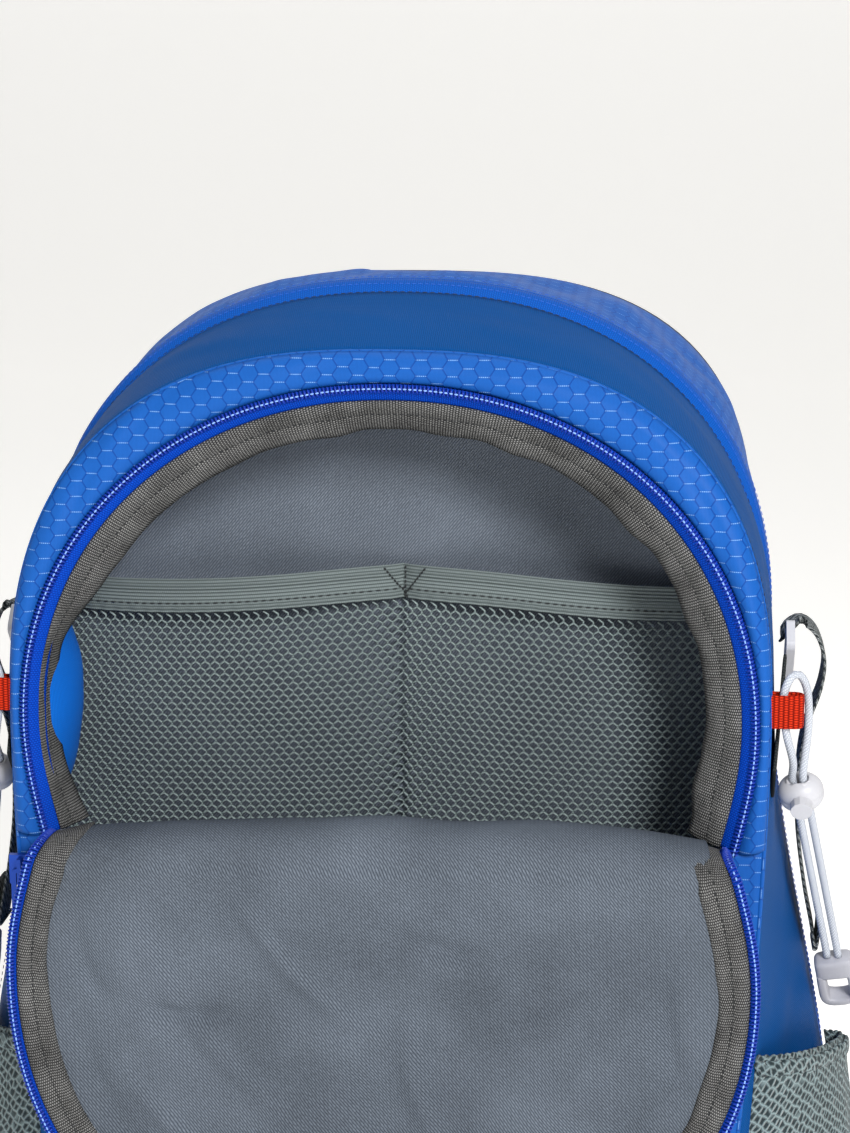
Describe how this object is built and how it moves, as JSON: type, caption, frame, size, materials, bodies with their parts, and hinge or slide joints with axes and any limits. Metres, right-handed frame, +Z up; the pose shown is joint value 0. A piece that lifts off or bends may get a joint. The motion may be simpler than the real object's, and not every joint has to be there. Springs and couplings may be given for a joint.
{
  "type": "daypack",
  "caption": "Hiking daypack with a zipped front compartment whose arched flap hangs open, an organiser mesh pocket, side pockets, pole cords and a padded harness.",
  "frame": {"origin": "centre of the flat base that the pack stands on", "axes": "+Z up, -Y towards the front panel, +X to the right of a viewer who faces the front"},
  "size_m": [0.3864, 0.3128, 0.466],
  "materials": {
    "hex_fabric": "hexagon ripstop polyester",
    "side_fabric": "fine ribbed polyester, dark blue",
    "lining": "grey twill lining",
    "binding": "grosgrain tape",
    "pocket_mesh": "open knit mesh",
    "elastic": "ribbed elastic",
    "side_mesh": "coarse knit mesh",
    "zip_blue": "woven zip tape with a nylon coil",
    "webbing": "woven webbing",
    "red_webbing": "woven webbing",
    "cord": "braided elastic cord",
    "white_plastic": "satin moulded",
    "dark_plastic": "satin moulded",
    "air_mesh": "spacer mesh over foam",
    "strap_fabric": "padded strap fabric",
    "back_fabric": "padded back panel fabric",
    "frame_board": "stiff sheet",
    "zip_metal": "painted zinc"
  },
  "bodies": {
    "rear": {"base_tub": "side_fabric", "rear_gusset": "hex_fabric", "main_zip_rear": "zip_blue", "back_panel": "back_fabric", "frame_sheet": "frame_board", "back_pad_left": "air_mesh", "back_pad_right": "air_mesh", "lumbar_pad": "air_mesh", "shoulder_strap_left": "strap_fabric", "shoulder_strap_right": "strap_fabric", "ladderlock_left": "dark_plastic", "ladderlock_right": "dark_plastic", "shoulder_webbing_left": "webbing", "shoulder_webbing_right": "webbing", "waist_buckle_female": "dark_plastic", "waist_webbing_left": "webbing", "waist_webbing_right": "webbing"},
    "haul_loop": {"haul_loop": "webbing"},
    "sternum_strap": {"sternum_clip_left": "dark_plastic", "sternum_clip_right": "dark_plastic", "sternum_webbing_left": "webbing", "sternum_webbing_right": "webbing", "sternum_buckle_female": "dark_plastic"},
    "sternum_buckle_male": {"sternum_buckle_male": "dark_plastic"},
    "waist_buckle_male": {"waist_buckle_male": "dark_plastic"},
    "main_zip_slider": {"main_zip_slider": "zip_metal"},
    "main_zip_pull": {"main_zip_pull": "zip_metal"},
    "front": {"front_gusset": "side_fabric", "main_zip_front": "zip_blue", "front_panel_lower": "hex_fabric", "front_panel_border": "hex_fabric", "opening_zip": "zip_blue", "opening_binding": "binding", "divider": "lining", "compartment_floor": "lining", "mesh_pocket": "pocket_mesh", "mesh_pocket_elastic": "elastic", "side_pocket_left": "side_mesh", "side_pocket_right": "side_mesh", "compression_strap_left": "webbing", "compression_tail_left": "webbing", "compression_lock_left": "white_plastic", "pole_cord_left": "cord", "pole_tab_left": "red_webbing", "cord_hook_left": "white_plastic", "compression_strap_right": "webbing", "compression_tail_right": "webbing", "compression_lock_right": "white_plastic", "pole_cord_right": "cord", "pole_tab_right": "red_webbing", "cord_hook_right": "white_plastic"},
    "cord_lock_left": {"cord_lock_left": "white_plastic"},
    "cord_lock_right": {"cord_lock_right": "white_plastic"},
    "cord_lock_button_left": {"cord_lock_button_left": "white_plastic"},
    "cord_lock_button_right": {"cord_lock_button_right": "white_plastic"},
    "flap": {"flap_panel": "hex_fabric", "flap_zip": "zip_blue", "flap_binding": "binding"},
    "front_zip_slider": {"front_zip_slider": "zip_metal"},
    "front_zip_pull": {"front_zip_pull": "zip_metal"}
  },
  "joints": [
    {"name": "main_opening", "type": "hinge", "parent": "rear", "child": "front", "pos_m": [0, -0.099, 0.0612], "axis": [1, 0, 0], "range_deg": [0, 75]},
    {"name": "flap_hinge", "type": "hinge", "parent": "front", "child": "flap", "pos_m": [0, -0.108, 0.258], "axis": [-1, 0, 0], "range_deg": [0, 178]},
    {"name": "haul_loop_hinge", "type": "hinge", "parent": "rear", "child": "haul_loop", "pos_m": [0, 0.103, 0.4525], "axis": [1, 0, 0], "range_deg": [0, 180]},
    {"name": "sternum_height", "type": "slide", "parent": "rear", "child": "sternum_strap", "axis": [0, 0, 1], "range_m": [-0.02, 0.02]},
    {"name": "sternum_release", "type": "slide", "parent": "sternum_strap", "child": "sternum_buckle_male", "axis": [-1, 0, 0], "range_m": [0, 0.016]},
    {"name": "waist_release", "type": "slide", "parent": "rear", "child": "waist_buckle_male", "axis": [-1, 0, 0], "range_m": [0, 0.019]},
    {"name": "main_zip_slide", "type": "slide", "parent": "rear", "child": "main_zip_slider", "axis": [0, 0, 1], "range_m": [0, 0.04]},
    {"name": "main_zip_pull_swing", "type": "hinge", "parent": "main_zip_slider", "child": "main_zip_pull", "pos_m": [-0.1852, -0.008, 0.097], "axis": [0, 1, 0], "range_deg": [0, 170]},
    {"name": "front_zip_slide", "type": "slide", "parent": "front", "child": "front_zip_slider", "axis": [0, 0, 1], "range_m": [0, 0.06]},
    {"name": "front_zip_pull_swing", "type": "hinge", "parent": "front_zip_slider", "child": "front_zip_pull", "pos_m": [-0.1466, -0.0976, 0.243], "axis": [-1, 0, 0], "range_deg": [0, 170]},
    {"name": "cord_lock_slide_left", "type": "slide", "parent": "front", "child": "cord_lock_left", "axis": [-0.1825, 0.43, -0.8842], "range_m": [0, 0.04]},
    {"name": "cord_lock_button_press_left", "type": "slide", "parent": "cord_lock_left", "child": "cord_lock_button_left", "axis": [0, 0.8993, 0.4374], "range_m": [0, 0.002], "stiffness_N_per_m": 400},
    {"name": "cord_lock_slide_right", "type": "slide", "parent": "front", "child": "cord_lock_right", "axis": [0.1825, 0.43, -0.8842], "range_m": [0, 0.04]},
    {"name": "cord_lock_button_press_right", "type": "slide", "parent": "cord_lock_right", "child": "cord_lock_button_right", "axis": [0, 0.8993, 0.4374], "range_m": [0, 0.002], "stiffness_N_per_m": 400}
  ]
}
